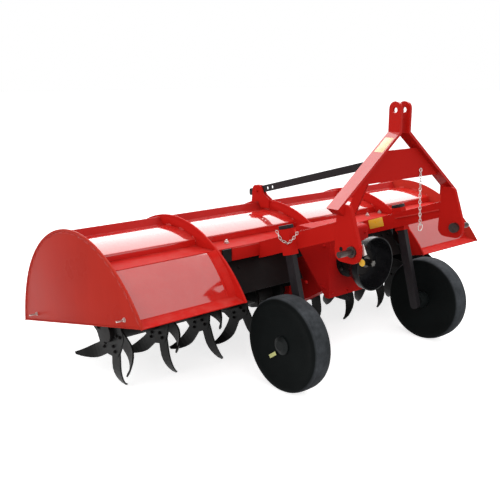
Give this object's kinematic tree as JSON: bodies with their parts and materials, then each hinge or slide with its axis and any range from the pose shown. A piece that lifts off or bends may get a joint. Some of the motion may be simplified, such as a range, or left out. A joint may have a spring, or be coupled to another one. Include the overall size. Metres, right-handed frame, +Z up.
{
  "type": "rotary tiller for a tractor",
  "caption": "Tractor-mounted rotary tiller: a centre-driven rotor of curved blades under a D-shaped pressed hood, with an A-frame hitch and two gauge wheels on sliding struts.",
  "frame": {"origin": "on the ground under the middle of the machine's box", "axes": "+X to the machine's left across its width, +Y rearwards away from the tractor, +Z up"},
  "size_m": [2.56, 1.6138, 1.358],
  "materials": {
    "hood_paint": "gloss red paint",
    "frame_paint": "gloss red paint",
    "gearbox_paint": "gloss red paint on castings",
    "black_paint": "satin black paint",
    "dark_steel": "dark grey paint",
    "blade_steel": "black forged steel",
    "pin_steel": "plated steel",
    "guard_plastic": "black plastic",
    "wheel_rubber": "black rubber"
  },
  "bodies": {
    "frame": {"end_plate_right": "hood_paint", "end_plate_left": "hood_paint", "hood_sheet": "hood_paint", "rib_right": "hood_paint", "rib_center": "hood_paint", "rib_left": "hood_paint", "front_panel_right": "hood_paint", "front_panel_left": "hood_paint", "front_beam": "frame_paint", "arm_right": "frame_paint", "arm_left": "frame_paint", "hitch_plate_right": "frame_paint", "hitch_plate_left": "frame_paint", "hitch_pin_right": "pin_steel", "hitch_pin_left": "pin_steel", "mast_leg_right": "frame_paint", "mast_leg_left": "frame_paint", "mast_gusset": "frame_paint", "mast_strut": "frame_paint", "top_brace": "dark_steel", "brace_ears": "frame_paint", "gearbox": "gearbox_paint", "drive_case": "gearbox_paint", "input_nose": "black_paint", "pto_guard": "guard_plastic", "strut_sleeve_right": "frame_paint", "strut_sleeve_left": "frame_paint"},
    "rotor": {"rotor_shaft_right": "black_paint", "rotor_shaft_left": "black_paint", "blade_disc_right_1": "blade_steel", "blade_disc_right_2": "blade_steel", "blade_disc_right_3": "blade_steel", "blade_disc_right_4": "blade_steel", "blade_disc_right_5": "blade_steel", "blade_disc_left_1": "blade_steel", "blade_disc_left_2": "blade_steel", "blade_disc_left_3": "blade_steel", "blade_disc_left_4": "blade_steel", "blade_disc_left_5": "blade_steel"},
    "drive_shaft": {"pto_shaft": "pin_steel"},
    "carrier_right": {"strut_right": "dark_steel"},
    "carrier_left": {"strut_left": "dark_steel"},
    "gauge_wheel_right": {"wheel_right": "wheel_rubber", "wheel_hub_right": "black_paint"},
    "gauge_wheel_left": {"wheel_left": "wheel_rubber", "wheel_hub_left": "black_paint"}
  },
  "joints": [
    {"name": "rotor_spin", "type": "hinge", "parent": "frame", "child": "rotor", "pos_m": [0, 0.063, 0.286], "axis": [1, 0, 0], "continuous": true},
    {"name": "drive_shaft_spin", "type": "hinge", "parent": "frame", "child": "drive_shaft", "pos_m": [0, -0.5, 0.54], "axis": [0, -1, 0], "continuous": true},
    {"name": "wheel_height_right", "type": "slide", "parent": "frame", "child": "carrier_right", "axis": [0, 0.2689, 0.9632], "range_m": [0, 0.12]},
    {"name": "wheel_height_left", "type": "slide", "parent": "frame", "child": "carrier_left", "axis": [0, 0.2689, 0.9632], "range_m": [0, 0.12]},
    {"name": "wheel_spin_right", "type": "hinge", "parent": "carrier_right", "child": "gauge_wheel_right", "pos_m": [-0.555, -0.51, 0.234], "axis": [1, 0, 0], "continuous": true},
    {"name": "wheel_spin_left", "type": "hinge", "parent": "carrier_left", "child": "gauge_wheel_left", "pos_m": [0.555, -0.51, 0.234], "axis": [1, 0, 0], "continuous": true}
  ],
  "couplings": [
    {"joint": "drive_shaft_spin", "follows": "rotor_spin", "ratio": 2.7}
  ]
}
